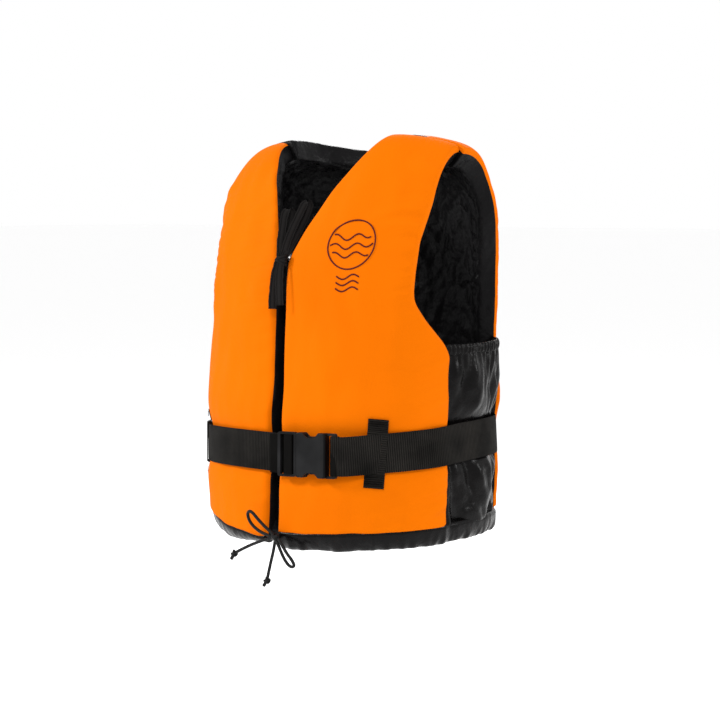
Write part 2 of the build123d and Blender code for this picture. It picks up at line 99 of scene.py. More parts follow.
def from_hem(points):
    """Route points in millimetres from the hem's centre, in the row's frame."""
    return [Vector(point) / 1000 + HEM_TO_ORIGIN for point in points]


def smooth_line(points, name="route"):
    """The NURBS line of a route, as closely spaced points."""
    data = bpy.data.curves.new(name, "CURVE")
    data.dimensions = "3D"
    data.resolution_u = 10
    spline = data.splines.new("NURBS")
    spline.points.add(len(points) - 1)
    for knot, point in zip(spline.points, points):
        knot.co = (*point, 1)
    spline.order_u = 3
    spline.use_endpoint_u = True
    holder = bpy.data.objects.new(name, data)
    mesh = bpy.data.meshes.new_from_object(holder)
    line = [vertex.co.copy() for vertex in mesh.vertices]
    bpy.data.objects.remove(holder)
    bpy.data.meshes.remove(mesh)
    return line


def finish_piece(name, bm, *materials, smooth=True):
    """Makes the object of a finished mesh, at the origin."""
    mesh = bpy.data.meshes.new(name)
    bm.to_mesh(mesh)
    bm.free()
    for material in materials:
        mesh.materials.append(material)
    for polygon in mesh.polygons:
        polygon.use_smooth = smooth
    piece = bpy.data.objects.new(name, mesh)
    bpy.context.scene.collection.objects.link(piece)
    return piece


def add_part(bm, part_bm):
    """Adds one mesh to another that is still being built."""
    part = bpy.data.meshes.new("part")
    part_bm.to_mesh(part)
    part_bm.free()
    bm.from_mesh(part)
    bpy.data.meshes.remove(part)


def swept(line, width, thickness, side, closed=False, around=16, power=4.0, wobble=0.0,
          steady=False):
    """A band of rounded cross-section along a line. side is the width's direction at the start,
    carried along without twisting, or all the way if steady. The UV map runs across and along,
    in metres."""
    count = len(line)
    turns = count if closed else count - 1
    bm = bmesh.new()
    bmesh.ops.create_grid(bm, x_segments=around, y_segments=turns, size=0.5)
    uv = bm.loops.layers.uv.new("cloth")
    frames = []
    across = Vector(side).normalized()
    for k in range(count):
        after = line[(k + 1) % count] if closed or k < count - 1 else line[k]
        before = line[k - 1] if closed or k > 0 else line[k]
        along = (after - before).normalized()
        across = Vector(side) if steady else across
        across = (across - along * across.dot(along)).normalized()
        frames.append((line[k], across.copy(), along.cross(across)))
    reach = [0.0]
    for a, b in zip(line, line[1:] + line[:1]):
        reach.append(reach[-1] + (b - a).length)
    for face in bm.faces:
        for loop in face.loops:
            share = loop.vert.co
            loop[uv].uv = ((share.x + 0.5) * 2 * (width + thickness),
                           reach[round((share.y + 0.5) * turns)])
    for vert in bm.verts:
        turn = (vert.co.x + 0.5) * 2 * math.pi
        k = round((vert.co.y + 0.5) * turns)
        centre, wide, deep = frames[k % count]
        c, s = math.cos(turn), math.sin(turn)
        swell = 1 + wobble * noise.noise(centre * 160)
        x = math.copysign(abs(c) ** (2 / power), c) * width / 2 * swell
        y = math.copysign(abs(s) ** (2 / power), s) * thickness / 2
        vert.co = centre + wide * x + deep * y
    bmesh.ops.remove_doubles(bm, verts=bm.verts, dist=1e-6)
    if not closed:
        ends = [edge for edge in bm.edges if edge.is_boundary]
        bmesh.ops.holes_fill(bm, edges=ends, sides=0)
    bmesh.ops.recalc_face_normals(bm, faces=bm.faces)
    return bm


def group_socket(tree, name, kind, way, value=None):
    socket = tree.interface.new_socket(name, in_out=way, socket_type=kind)
    if value is not None:
        socket.default_value = value
    return socket


class Nodes:
    """Short calls for building a node tree."""

    def __init__(self, tree):
        self.tree = tree

    def add(self, kind, **inputs):
        node = self.tree.nodes.new(kind)
        for key, value in inputs.items():
            self.feed(node, key, value)
        return node

    def fill(self, socket, value):
        """Links a socket, or sets its plain value."""
        if isinstance(value, bpy.types.NodeSocket):
            self.tree.links.new(value, socket)
        else:
            socket.default_value = value

    def feed(self, node, key, value):
        self.fill(node.inputs[key.replace("_", " ")], value)

    def math(self, operation, *values, clamp=False):
        node = self.tree.nodes.new("ShaderNodeMath")
        node.operation = operation
        node.use_clamp = clamp
        for socket, value in zip(node.inputs, values):
            self.fill(socket, value)
        return node.outputs[0]

    def mix(self, factor, a, b):
        node = self.tree.nodes.new("ShaderNodeMix")
        node.data_type = "RGBA"
        for socket, value in zip((node.inputs[0], node.inputs[6], node.inputs[7]), (factor, a, b)):
            self.fill(socket, value)
        return node.outputs[2]


def make_weave_group():
    """Warp and weft threads on a UV map in metres: a height, and a mask of the gaps."""
    tree = bpy.data.node_groups.new("thread_weave", "ShaderNodeTree")
    group_socket(tree, "Across pitch", "NodeSocketFloat", "INPUT", 0.001)
    group_socket(tree, "Along pitch", "NodeSocketFloat", "INPUT", 0.001)
    group_socket(tree, "Ribs", "NodeSocketFloat", "INPUT", 0.0)
    group_socket(tree, "Lengthwise", "NodeSocketFloat", "INPUT", 0.0)
    group_socket(tree, "Height", "NodeSocketFloat", "OUTPUT")
    group_socket(tree, "Gaps", "NodeSocketFloat", "OUTPUT")
    n = Nodes(tree)
    entry = tree.nodes.new("NodeGroupInput")
    place = n.add("ShaderNodeSeparateXYZ", Vector=n.add("ShaderNodeTexCoord").outputs["UV"])
    waves = []
    for axis, pitch in ((0, entry.outputs[0]), (1, entry.outputs[1])):
        turns = n.math("DIVIDE", place.outputs[axis], pitch)
        waves.append(n.math("SINE", n.math("MULTIPLY", turns, math.pi)))
    checker = n.math("MULTIPLY", waves[0], waves[1])
    height = n.math("ADD", n.math("MULTIPLY", checker, 0.5), 0.5)
    rib, length_rib = n.math("ABSOLUTE", waves[1]), n.math("ABSOLUTE", waves[0])
    rib = n.math("ADD", rib, n.math("MULTIPLY", n.math("SUBTRACT", length_rib, rib),
                                    entry.outputs["Lengthwise"]))
    height = n.math("ADD", height, n.math("MULTIPLY", n.math("SUBTRACT", rib, height),
                                          entry.outputs["Ribs"]))
    gaps = n.math("SUBTRACT", 1.0, n.math("ABSOLUTE", checker), clamp=True)
    gaps = n.math("ADD", gaps, n.math("MULTIPLY", n.math("SUBTRACT", n.math("SUBTRACT", 1.0, rib),
                                                         gaps), entry.outputs["Ribs"]))
    leave = tree.nodes.new("NodeGroupOutput")
    tree.links.new(height, leave.inputs["Height"])
    tree.links.new(n.math("POWER", gaps, 2.0), leave.inputs["Gaps"])
    return tree


def make_patch_group():
    """Slow changes of tone over a cloth, and a finer mottle, from Object coordinates."""
    tree = bpy.data.node_groups.new("cloth_tone", "ShaderNodeTree")
    group_socket(tree, "Large", "NodeSocketFloat", "INPUT", 9.0)
    group_socket(tree, "Fine", "NodeSocketFloat", "INPUT", 160.0)
    group_socket(tree, "Tone", "NodeSocketFloat", "OUTPUT")
    group_socket(tree, "Mottle", "NodeSocketFloat", "OUTPUT")
    n = Nodes(tree)
    entry = tree.nodes.new("NodeGroupInput")
    place = n.add("ShaderNodeTexCoord").outputs["Object"]
    large = n.add("ShaderNodeTexNoise", Vector=place, Scale=entry.outputs["Large"], Detail=3.0)
    fine = n.add("ShaderNodeTexNoise", Vector=place, Scale=entry.outputs["Fine"], Detail=4.0)
    leave = tree.nodes.new("NodeGroupOutput")
    tree.links.new(large.outputs["Fac"], leave.inputs["Tone"])
    tree.links.new(fine.outputs["Fac"], leave.inputs["Mottle"])
    return tree


weave_group = make_weave_group()
tone_group = make_patch_group()


def cloth_material(name, dark, light, rough, pitch, weave_depth, mottle_depth=0.0,
                   specular=0.1, tones=(9.0, 160.0), ribs=0.0, lengthwise=0.0):
    """Woven cloth: two tones of one colour, painted shade in the gaps between the threads, and
    threads and mottle in the bump. ribs turns the plain weave into ribs across the band, and
    lengthwise turns those along it."""
    material = bpy.data.materials.new(name)
    material.use_nodes = True
    tree = material.node_tree
    n = Nodes(tree)
    shader = tree.nodes["Principled BSDF"]
    threads = n.add("ShaderNodeGroup")
    threads.node_tree = weave_group
    threads.inputs["Across pitch"].default_value, threads.inputs["Along pitch"].default_value = pitch
    threads.inputs["Ribs"].default_value = ribs
    threads.inputs["Lengthwise"].default_value = lengthwise
    tone = n.add("ShaderNodeGroup")
    tone.node_tree = tone_group
    tone.inputs["Large"].default_value, tone.inputs["Fine"].default_value = tones
    spread = n.math("MULTIPLY_ADD", tone.outputs["Tone"], 1.8, -0.4, clamp=True)
    colour = n.mix(spread, (*dark, 1), (*light, 1))
    # painted shade: the gaps between the threads are darkened, most of all in ribbed tape
    shade = n.math("MULTIPLY", threads.outputs["Gaps"], 0.35 + 0.6 * ribs)
    colour = n.mix(shade, colour, (*[value * (0.6 - 0.5 * ribs) for value in dark], 1))
    n.feed(shader, "Base_Color", colour)
    n.feed(shader, "Roughness", n.math("MULTIPLY_ADD", tone.outputs["Mottle"], 0.16, rough - 0.08))
    shader.inputs["Specular IOR Level"].default_value = specular
    height = n.math("ADD", n.math("MULTIPLY", threads.outputs["Height"], weave_depth),
                    n.math("MULTIPLY", tone.outputs["Mottle"], mottle_depth))
    bump = n.add("ShaderNodeBump", Height=height, Strength=1.0, Distance=1.0)
    n.feed(shader, "Normal", bump.outputs["Normal"])
    return material


tie_material = cloth_material("tie_tape", (0.0045, 0.004, 0.004), (0.016, 0.0145, 0.014), 0.8,
                              (0.00235, 0.0012), 0.0006, specular=0.05, ribs=0.8, lengthwise=1.0)
tie_routes = {
    "neck_tie_right": [
        (-9.2, -141, 353), (-5, -146, 355), (0, -151, 358), (-2, -150, 364), (-5, -146, 376),
        (-8, -138, 396), (-10, -133, 409), (-10.5, -129, 416), (-9, -124, 418),
        (-5.5, -122, 414), (-2.5, -129, 402), (-0.5, -138, 382), (0.5, -147, 366),
        (0.5, -156, 355), (-1.5, -160, 341), (-4, -162, 320), (-5, -162, 296)],
    "neck_tie_left": [
        (7.6, -140, 357), (6.5, -146, 357), (3, -151, 358), (4, -150, 364), (5, -143, 382),
        (8, -132, 403), (10.5, -124, 417), (12, -119, 426), (15, -115, 427), (17, -116, 421),
        (15, -121, 408), (11, -134, 386), (6.5, -147, 366), (5.5, -157, 355),
        (6.5, -162, 343), (8, -165, 323), (9, -165, 301)],
}
TIE_FACING = Vector((0.79, 0.61, 0))
tie_knot_place = from_hem([(3, -153.5, 357)])[0]
for name, route in tie_routes.items():
    line = smooth_line(from_hem(route))
    bm = swept(line, TIE_WIDTH, TIE_THICKNESS, TIE_FACING, around=20, wobble=0.12, steady=True)
    piece = finish_piece(f"{name}_tape", bm, tie_material)
    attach(piece, "vest")
    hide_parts(name)

knot_bm = bmesh.new()
for tilt, radius, drop in ((0.45, 0.0062, 0.0), (-0.5, 0.0066, 0.0012)):
    ring = []
    for k in range(28):
        turn = 2 * math.pi * k / 28
        ring.append(tie_knot_place + Vector((1.05 * radius * math.cos(turn),
                                             0.72 * radius * math.sin(turn) - 0.0004,
                                             radius * tilt * math.cos(turn) - drop)))
    wrap = swept(ring, KNOT_WIDTH, KNOT_THICKNESS, (0, 0, 1), closed=True, around=14, wobble=0.2)
    add_part(knot_bm, wrap)
tie_knot = finish_piece("neck_tie_knot_wraps", knot_bm, tie_material)
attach(tie_knot, "vest")
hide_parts("neck_tie_knot")

# ---------------------------------------------------------------------------------------------
# Hem drawcord. A round braided cord comes out of both front ends of the hem tunnel, is tied in a
# bow, and has an overhand knot near each end.
CORD_DIAMETER = 0.004
CORD_TIP = 0.0095          # the cord's end beyond the middle of its knot
KNOT_SPREAD = 0.00105      # scale of the end knot's three lobes
KNOT_RISE = 0.0019
cord_material = cloth_material("cord_braid", (0.004, 0.004, 0.004), (0.012, 0.012, 0.012), 0.55,
                               (0.0016, 0.0022), 0.0004, specular=0.1)
cord_routes = {
    "drawcord_right": [
        (-7.8, -161, 8), (-4.5, -162.5, 8), (-2, -168, 9.5), (3, -174, 12.5), (9, -179, 17),
        (9, -181, 20), (0, -185, 28), (-10, -187, 37), (-18, -187, 44), (-25, -186, 45),
        (-29, -184, 39), (-25, -183, 29), (-12, -182, 20), (5, -181, 16), (8, -179, 14),
        (-10, -181, 8), (-33, -182, -2), (-54, -181, -13)],
    "drawcord_left": [
        (7.8, -161.5, 8), (4.5, -163, 8), (5, -169, 8.5), (9, -175, 11), (13, -178, 14),
        (15, -179, 16), (24, -181, 8), (33, -182, -2), (41, -182, -9), (46, -182, -16),
        (40, -182, -19), (31, -183, -12), (15, -180, 11), (12, -179, 12), (11, -181, -2),
        (6, -181, -18), (1, -182, -40)],
}
cord_end_aims = {
    "drawcord_right": (-6, 0.5, -9),
    "drawcord_left": (-6, 0.5, -8),
}
cord_pieces = []
for name, route in cord_routes.items():
    line = smooth_line(from_hem(route))
    bm = swept(line, CORD_DIAMETER, CORD_DIAMETER, (0, 0, 1), around=14, power=2, wobble=0.05)
    piece = finish_piece(f"{name}_braid", bm, cord_material)
    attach(piece, "vest")
    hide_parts(name)
    cord_pieces.append((name, piece, line))

bow_place = from_hem([(12, -179, 16)])[0]
bow_bm = bmesh.new()
for tilt, lean in ((0.9, 0.3), (-0.2, -0.5)):
    spin = Matrix.Rotation(tilt, 4, "Y") @ Matrix.Rotation(lean, 4, "Z")
    ring = [bow_place + spin @ Vector((0.0042 * math.cos(2 * math.pi * k / 24),
                                       0.0034 * math.sin(2 * math.pi * k / 24), 0))
            for k in range(24)]
    wrap = swept(ring, CORD_DIAMETER, CORD_DIAMETER, (0, 0, 1), closed=True, around=14, power=2)
    add_part(bow_bm, wrap)
bow = finish_piece("drawcord_bow_wraps", bow_bm, cord_material)
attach(bow, "vest")
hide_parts("drawcord_bow")

for name, piece, line in cord_pieces:
    centre = from_hem([cord_routes[name][-1]])[0]
    aim = Vector(cord_end_aims[name]).normalized()
    turn = Vector((0, 0, 1)).rotation_difference(aim).to_matrix()
    trefoil = []
    for k in range(48):
        t = 2 * math.pi * k / 48
        around_x = math.sin(t) + 2 * math.sin(2 * t)
        around_y = math.cos(t) - 2 * math.cos(2 * t)
        trefoil.append(centre + turn @ Vector((around_x * KNOT_SPREAD, around_y * KNOT_SPREAD,
                                               -math.sin(3 * t) * KNOT_RISE)))
    end_bm = swept(trefoil, 0.0034, 0.0034, (0, 0, 1), closed=True, around=12, power=2)
    tip_line = [centre + aim * (CORD_TIP * k / 8) for k in range(9)]
    tip = swept(tip_line, 0.0044, 0.0044, (1, 0, 0), around=14, power=2, wobble=0.1)
    add_part(end_bm, tip)
    end_name = name.replace("drawcord", "drawcord_end")
    end = finish_piece(f"{end_name}_knot", end_bm, cord_material)
    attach(end, "vest")
    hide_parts(end_name)

# ---------------------------------------------------------------------------------------------
# Front and back panels. Each is a foam sheet in a bag of orange nylon, whose black lining turns
# over the edges and meets the orange just below the face. They are sewn together at the
# shoulders and held apart below the arms by the side panels.
WALL = 0.028
ARCH_START = 0.300
LENGTH = 0.512
SHOULDER_Y = -0.038
FRONT_LEAN = 0.018
HEM_INSET = 0.005
HALF_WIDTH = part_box("left_side_hem")[1].x + HEM_INSET
HALF_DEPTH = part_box("back_cover")[1].y + SHOULDER_Y
PLAN_POWER = 2.25
CROWN_POWER = 3.2
FRONT_POWER = 1.7
BACK_POWER = 2.6
SHOULDER_PUSH = 0.046      # how much further back the left strap's outer edge lies
SHOULDER_DOME = 0.008      # the left shoulder's extra height in its middle
RIGHT_TUCK = 0.032         # share by which the wearer's right side draws in towards the hem
V_HEIGHT = 0.358           # where the V neck starts, above the hem
NECK_X = 0.084             # half the neck opening at the shoulder seams
ZIP_EDGE_X = 0.011         # half the gap between the front panels
SIDE_SEAM_X = 0.192        # the front panels' side seams
BACK_SEAM_X = 0.150        # the back panel's side seams
LINING_CORNER = 0.007      # how round the panels' inner corners are
NAPE_DEPTH = 0.100         # back of the neck opening, behind the shoulder seams
STRAP_X = 0.160            # the shoulders' outer edges on the wearer's right
HEM_SEAM_HEIGHT = 0.012    # the panels' lower edge before the hem is shaped
SHOULDER_SEAM = 2.0        # level of the shoulder seams
SEEDS = {"front_left": 1.7, "front_right": 5.3, "back": 9.1}    # each panel's own creases


def ease(share):
    """A smooth step from 0 to 1."""
    return (1 - math.cos(math.pi * min(max(share, 0), 1))) / 2


def angle_at(x):
    """The angle round the body where its outer face has this x."""
    share = min(abs(x) / HALF_WIDTH, 1)
    return math.copysign(math.degrees(math.asin(share ** (PLAN_POWER / 2))), x)


def body(angle, level, inset=0.0):
    """A point inset below the outer face, in the row's frame. level 0 is the hem, 1 the start
    of the shoulder curve and 2 the shoulder seam; angle is 0 in front and 180 behind."""
    turn = math.radians(angle)
    across = abs(math.sin(turn)) ** (2 / PLAN_POWER)
    deep = abs(math.cos(turn)) ** (2 / PLAN_POWER)
    x = math.copysign((HALF_WIDTH - inset) * across, math.sin(turn))
    side = -1 if math.cos(turn) > 0 else 1
    depth = (HALF_DEPTH - inset) * deep
    if level <= 1:
        lean = FRONT_LEAN * (1 - level) * deep if side < 0 else 0
        if x < 0:
            x *= 1 - RIGHT_TUCK * ease(1 - level / 0.42)
        return Vector((x, side * (depth + lean), level * ARCH_START)) + HEM_TO_ORIGIN
    pushed = ease((across - 0.36) / 0.46) if x > 0 else 0
    shoulder = SHOULDER_Y + SHOULDER_PUSH * pushed
    round_off = CROWN_POWER + 1.9 * pushed
    crown = (LENGTH - inset - ARCH_START) * max(1 - across ** round_off, 0) ** (1 / round_off)
    if x > 0:
        crown += SHOULDER_DOME * math.exp(-((across - 0.50) / 0.17) ** 2)
    reach = depth - side * shoulder
    power = FRONT_POWER if side < 0 else BACK_POWER
    climb = math.radians(90 * (level - 1))
    along, up = math.cos(climb) / reach, math.sin(climb) / crown
    ray = (abs(along) ** power + abs(up) ** power) ** (-1 / power)
    return Vector((x, shoulder + side * ray * math.cos(climb),
                   ARCH_START + ray * math.sin(climb))) + HEM_TO_ORIGIN


def outwards(angle, level):
    """The outer face's normal."""
    around = body(angle + 0.5, level) - body(angle - 0.5, level)
    upward = body(angle, min(level + 0.02, 2)) - body(angle, min(level + 0.02, 2) - 0.04)
    return around.cross(upward).normalized()


def height_of(place):
    """Height above the hem."""
    return place.z - HEM_TO_ORIGIN.z


def neck_edge(level, gap=ZIP_EDGE_X):
    """x of the front panels' inner edge: the zip gap, then the V neck."""
    climb = max(height_of(body(0, level)) - V_HEIGHT, 0) / (LENGTH - V_HEIGHT)
    return gap + (NECK_X - gap) * climb


def left_neck_edge(level):
    """The wearer's left panel laps further over the zip, most of all at the hem."""
    return neck_edge(level, 0.0064 - 0.0014 * ease(level / 0.3) + 0.0010 * ease(level / 0.7))


def right_neck_edge(level):
    """The wearer's right panel's edge is nearly straight up to the shoulder."""
    share = min(max((height_of(body(0, level)) - V_HEIGHT) / (LENGTH - V_HEIGHT), 0), 1)
    return neck_edge(level) - 0.009 * math.sin(math.pi * share)


def front_arm_edge(level):
    """x of the left front panel's outer edge: side seam, arm opening, shoulder."""
    height = height_of(body(angle_at(0.168), level))
    edge = SIDE_SEAM_X - 0.0265 * ease((height - 0.236) / 0.085)
    return edge + 0.005 * ease((height - 0.375) / 0.07) - 0.0085 * ease((level - 1.55) / 0.45)


def front_right_arm_edge(level):
    """The right front panel's outer edge, which is nearly straight."""
    arm = 0.165 + (STRAP_X - 0.165) * ease((level - 1.1) / 0.9)
    return SIDE_SEAM_X + (arm - SIDE_SEAM_X) * ease((level - 0.8) / 0.3)


def back_arm_edge(level):
    """x of the back panel's edge on the wearer's left."""
    height = height_of(body(180 - angle_at(BACK_SEAM_X), level))
    edge = 0.155 - 0.003 * ease((height - 0.20) / 0.07)
    return edge + 0.017 * ease((height - 0.33) / 0.14) - 0.002 * ease((level - 1.6) / 0.4)


def back_right_arm_edge(level):
    """The back panel sits a little towards the wearer's right below the shoulder."""
    share = min(max((level - 0.82) / 1.18, 0), 1)
    edge = BACK_SEAM_X + (STRAP_X - BACK_SEAM_X) * ease((level - 1) / 0.6)
    return edge + 0.026 * math.sin(math.pi * share) ** 0.7


def nape_level(x):
    """The station where the back panel ends: the shoulder seam, or the neck opening's edge."""
    if abs(x) >= NECK_X:
        return SHOULDER_SEAM
    edge = SHOULDER_Y + NAPE_DEPTH * math.sqrt(1 - (x / NECK_X) ** 2) + HEM_TO_ORIGIN.y
    low, high = 1.0, SHOULDER_SEAM
    for _ in range(24):
        half = (low + high) / 2
        low, high = (half, high) if body(180 - angle_at(x), half).y > edge else (low, half)
    return low


def slab(columns, rows, layers):
    """A closed block of faces with coordinates from 0 to 1: across, up, and in from the face."""
    bm = bmesh.new()
    bmesh.ops.create_grid(bm, x_segments=columns, y_segments=rows, size=0.5)
    bmesh.ops.translate(bm, verts=bm.verts, vec=(0.5, 0.5, 0))
    far = bmesh.ops.extrude_face_region(bm, geom=bm.faces[:])["geom"]
    bmesh.ops.translate(bm, verts=[item for item in far if isinstance(item, bmesh.types.BMVert)],
                        vec=(0, 0, 1))
    for k in range(1, layers):
        bmesh.ops.bisect_plane(bm, geom=bm.verts[:] + bm.edges[:] + bm.faces[:],
                               plane_co=(0, 0, k / layers), plane_no=(0, 0, 1))
    return bm


def rounded(distance, depth, radius):
    """Moves a point of a square corner on to the round one."""
    if distance >= radius or depth >= radius:
        return distance, depth
    a, b = (radius - distance) / radius, (radius - depth) / radius
    share = max(a, b) / max(math.hypot(a, b), 1e-9)
    return radius - radius * a * share, radius - radius * b * share


def belt_centre(angle):
    """Height of the belt's middle: it rides up on the wearer's left."""
    turn = math.radians(angle)
    sideways = math.sin(turn) * abs(math.sin(turn))
    return 0.121 + 0.012 * sideways - 0.002 * math.cos(turn)


def beside(angle, spread):
    """1 at the soft side panels and 0 on the padded ones."""
    turn = abs((angle + 180) % 360 - 180)
    first, last = angle_at(SIDE_SEAM_X), 180 - angle_at(BACK_SEAM_X)
    return ease((turn - first) / spread + 0.5) * ease((last - turn) / spread + 0.5)


def hem_seam(angle):
    """Height of the seam between the panels and the hem tunnel: higher on the wearer's left."""
    aside, x = math.sin(math.radians(angle)), body(angle, 0).x
    if x > 0:
        return 0.0185 + 0.0105 * aside ** 1.5 + 0.003 * ease(x / 0.15)
    far = max((-x - 0.080) / 0.110, 0)
    return (0.0145 + 0.002 * aside - 0.0045 * math.exp(-((x + 0.02) / 0.03) ** 2)
            + 0.024 * far ** 1.2)


def hem_height(angle):
    """How far the tunnel hangs below its seam."""
    aside, x = math.sin(math.radians(angle)), body(angle, 0).x
    bottom = -0.0027
    if x > 0:
        bottom += 0.0105 * aside ** 1.5
    else:
        bottom += 0.002 * aside + 0.0045 * math.exp(-((x + 0.02) / 0.045) ** 2)
    return hem_seam(angle) - bottom


PUCKER_DEPTH = 0.0125      # folds that run in from a soft edge, and how far apart they are
PUCKER_PITCH = 0.0125
WAVE_DEPTH = 0.0042        # slow waves of the filled cover
CREASE_DEPTH = 0.0018
BED_DEPTH = 0.0030         # the belt presses in this far, and the cover bulges beside it
BULGE = 0.0016
LINING_CRINKLE = 0.0042


def puff(place, angle, along, near, soft, seed):
    """How far the outer face stands off its plain shape: rolled edges, puckers at the seams,
    slow waves, and the belt's bed with a bulge above and below."""
    ridges = noise.noise(Vector((along / PUCKER_PITCH + near / 0.05, near / 0.11, seed)))
    reach = 0.012 + 0.026 * ease(noise.noise(Vector((along / 0.09, seed, 3))) * 2 + 0.5)
    fade = math.exp(-near / reach) * (1 - math.exp(-near / 0.008))
    pucker = PUCKER_DEPTH * soft * ridges * fade
    below_crown = ease((1.95 - along / ARCH_START) / 0.14)
    slow = WAVE_DEPTH * noise.noise(place / 0.085)
    crease = CREASE_DEPTH * noise.noise(Vector((place.x / 0.02, place.y / 0.05,
                                                place.z / 0.06 + seed)))
    off = (height_of(place) - belt_centre(angle)) / 0.030
    cinch = -BED_DEPTH * math.exp(-off ** 4) + BULGE * math.exp(-(abs(off) - 1.7) ** 2 / 0.5)
    rolled = -(0.0012 + 0.0023 * soft) * math.exp(-near / 0.020)
    return rolled + (pucker + crease) * below_crown + slow + cinch


def panel(columns, rows, start, end, top, seed, radii, round_top=False):
    """A padded panel between two edge angles, with its UV map in metres. radii are those of
    the outer corners at its first and last edge."""
    layers = 6
    bm = slab(columns, rows, layers)
    uv = bm.loops.layers.uv.new("cloth")
    hem_level = HEM_SEAM_HEIGHT / ARCH_START
    for face in bm.faces:
        middle = sum((vert.co for vert in face.verts), Vector()) / len(face.verts)
        face.material_index = 0 if middle.z < 0.9 / layers else 1
        if round_top and middle.y > 1 - 2.2 / rows and abs(middle.x - 0.5) < 0.27:
            face.material_index = 1
        for loop in face.loops:
            u, v, w = loop.vert.co
            loop[uv].uv = (u * (0.0042 * columns) + w * WALL, v * 0.5 + w * WALL * 0.3)
    for vert in bm.verts:
        u, v, w = vert.co
        u = 0.6 * u + 0.4 * (0.5 - 0.5 * math.cos(math.pi * u))
        outer = w < 0.5
        depth = min(w, 1 - w) * WALL
        middle_x = body(start(1.0) * (1 - u) + end(1.0) * u, 1.0).x
        level = hem_level + (top(middle_x) - hem_level) * v
        low, high = start(level), end(level)
        width = (body(low, level) - body(high, level)).length * 1.04
        edge = min(u, 1 - u) * width
        corner = radii[0] if u < 0.5 else radii[1]
        radius = corner if outer else LINING_CORNER
        if round_top:
            rim = (1 - v) * 0.45
            neck = ease((NECK_X - abs(middle_x)) / 0.02 + 0.5)
            rim_round, depth_round = rounded(rim, depth, radius)
            depth = depth + (depth_round - depth) * neck
            level -= (rim_round - rim) * neck / 0.30
        near, depth = rounded(edge, depth, radius)
        u_new = near / width if u < 0.5 else 1 - near / width
        angle = low + (high - low) * u_new
        inset = depth if outer else WALL - depth
        slant = 0.005 * inset / WALL * math.exp(-abs(angle if abs(angle) < 90 else 90) / 6)
        place = body(angle, level, inset)
        place.x -= math.copysign(slant, place.x)
        along = level * ARCH_START
        out = outwards(angle, min(level, 1.98))
        if outer:
            soft = min(max((corner - 0.006) / 0.005, 0), 1)
            place += out * puff(place, angle, along, near, soft, seed) * (1 - w * 2)
            walls = ease((depth - 0.004) / 0.006) * math.exp(-near / 0.004)
            place += out * 0.0024 * walls * noise.noise(place / 0.014)
            if abs(place.x) > 0.03:
                place.x += 0.0030 * walls * noise.noise(place / 0.017 + Vector((5, 0, 0)))
        else:
            crinkle = noise.noise(place / 0.021) + 0.7 * noise.noise(place / 0.011)
            place -= out * (LINING_CRINKLE * abs(crinkle) - 0.0016)
        if level < 0.5:
            share = 1 - (level - hem_level) / (0.5 - hem_level)
            place.z += (hem_seam(angle) - HEM_SEAM_HEIGHT) * share
        vert.co = place
    bmesh.ops.recalc_face_normals(bm, faces=bm.faces)
    return bm


cover_material = cloth_material("cover_orange", (0.58, 0.110, 0.0), (0.64, 0.132, 0.0), 0.7,
                                (0.0007, 0.0007), 0.00002, 0.0002, specular=0.02,
                                tones=(6.0, 240.0))
lining_material = cloth_material("lining_black", (0.0022, 0.002, 0.0022), (0.006, 0.0056, 0.006),
                                 0.36, (0.0009, 0.0009), 0.00003, 0.0040, specular=0.06,
                                 tones=(14.0, 55.0))


def shoulder_level(x):
    """The front panels end at the shoulder seams all the way across."""
    return SHOULDER_SEAM


panels = {
    "front_left": (46, 120, lambda level: angle_at(left_neck_edge(level)),
                   lambda level: angle_at(front_arm_edge(level)), shoulder_level,
                   (0.0050, 0.010)),
    "front_right": (46, 120, lambda level: -angle_at(front_right_arm_edge(level)),
                    lambda level: -angle_at(right_neck_edge(level)), shoulder_level,
                    (0.008, 0.0075)),
    "back": (78, 118, lambda level: 180 - angle_at(back_arm_edge(level)),
             lambda level: 180 + angle_at(back_right_arm_edge(level)), nape_level,
             (0.007, 0.007)),
}
for stem, (columns, rows, start, end, top, radii) in panels.items():
    bm = panel(columns, rows, start, end, top, SEEDS[stem], radii, round_top=stem == "back")
    piece = finish_piece(f"{stem}_panel", bm, cover_material, lining_material)
    smoother = piece.modifiers.new("smooth", "SUBSURF")
    smoother.levels = smoother.render_levels = 1
    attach(piece, "vest")
    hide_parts(f"{stem}_cover", f"{stem}_foam", f"{stem}_lining")

# ---------------------------------------------------------------------------------------------
# Print on the wearer's left chest: thin dark maroon ink lines, a ring round three waves with
# three shorter waves below, laid on the cover.
PRINT_RADIUS = 0.030
PRINT_LINE = 0.0019
PRINT_X = 0.093
PRINT_HEIGHT = 0.374
WAVE_RISE = 0.0032
WAVE_REACH = 0.0043        # the waves' length along the line, over 2 pi
print_angle, print_level = angle_at(PRINT_X), 1.0
while height_of(body(print_angle, print_level)) < PRINT_HEIGHT:
    print_level += 0.002
across_print = body(print_angle + 1, print_level) - body(print_angle - 1, print_level)
up_print = body(print_angle, print_level + 0.05) - body(print_angle, print_level - 0.05)
step_round, step_up = across_print.length / 2, up_print.length / 0.1


def on_chest(right, up):
    """A point of the print, lying just off the left front panel."""
    angle, level = print_angle + right / step_round, print_level + up / step_up
    place = body(angle, level)
    out = outwards(angle, level)
    on_face = puff(place, angle, level * ARCH_START, 0.06, 1, SEEDS["front_left"])
    return place + out * (on_face + 0.0004)


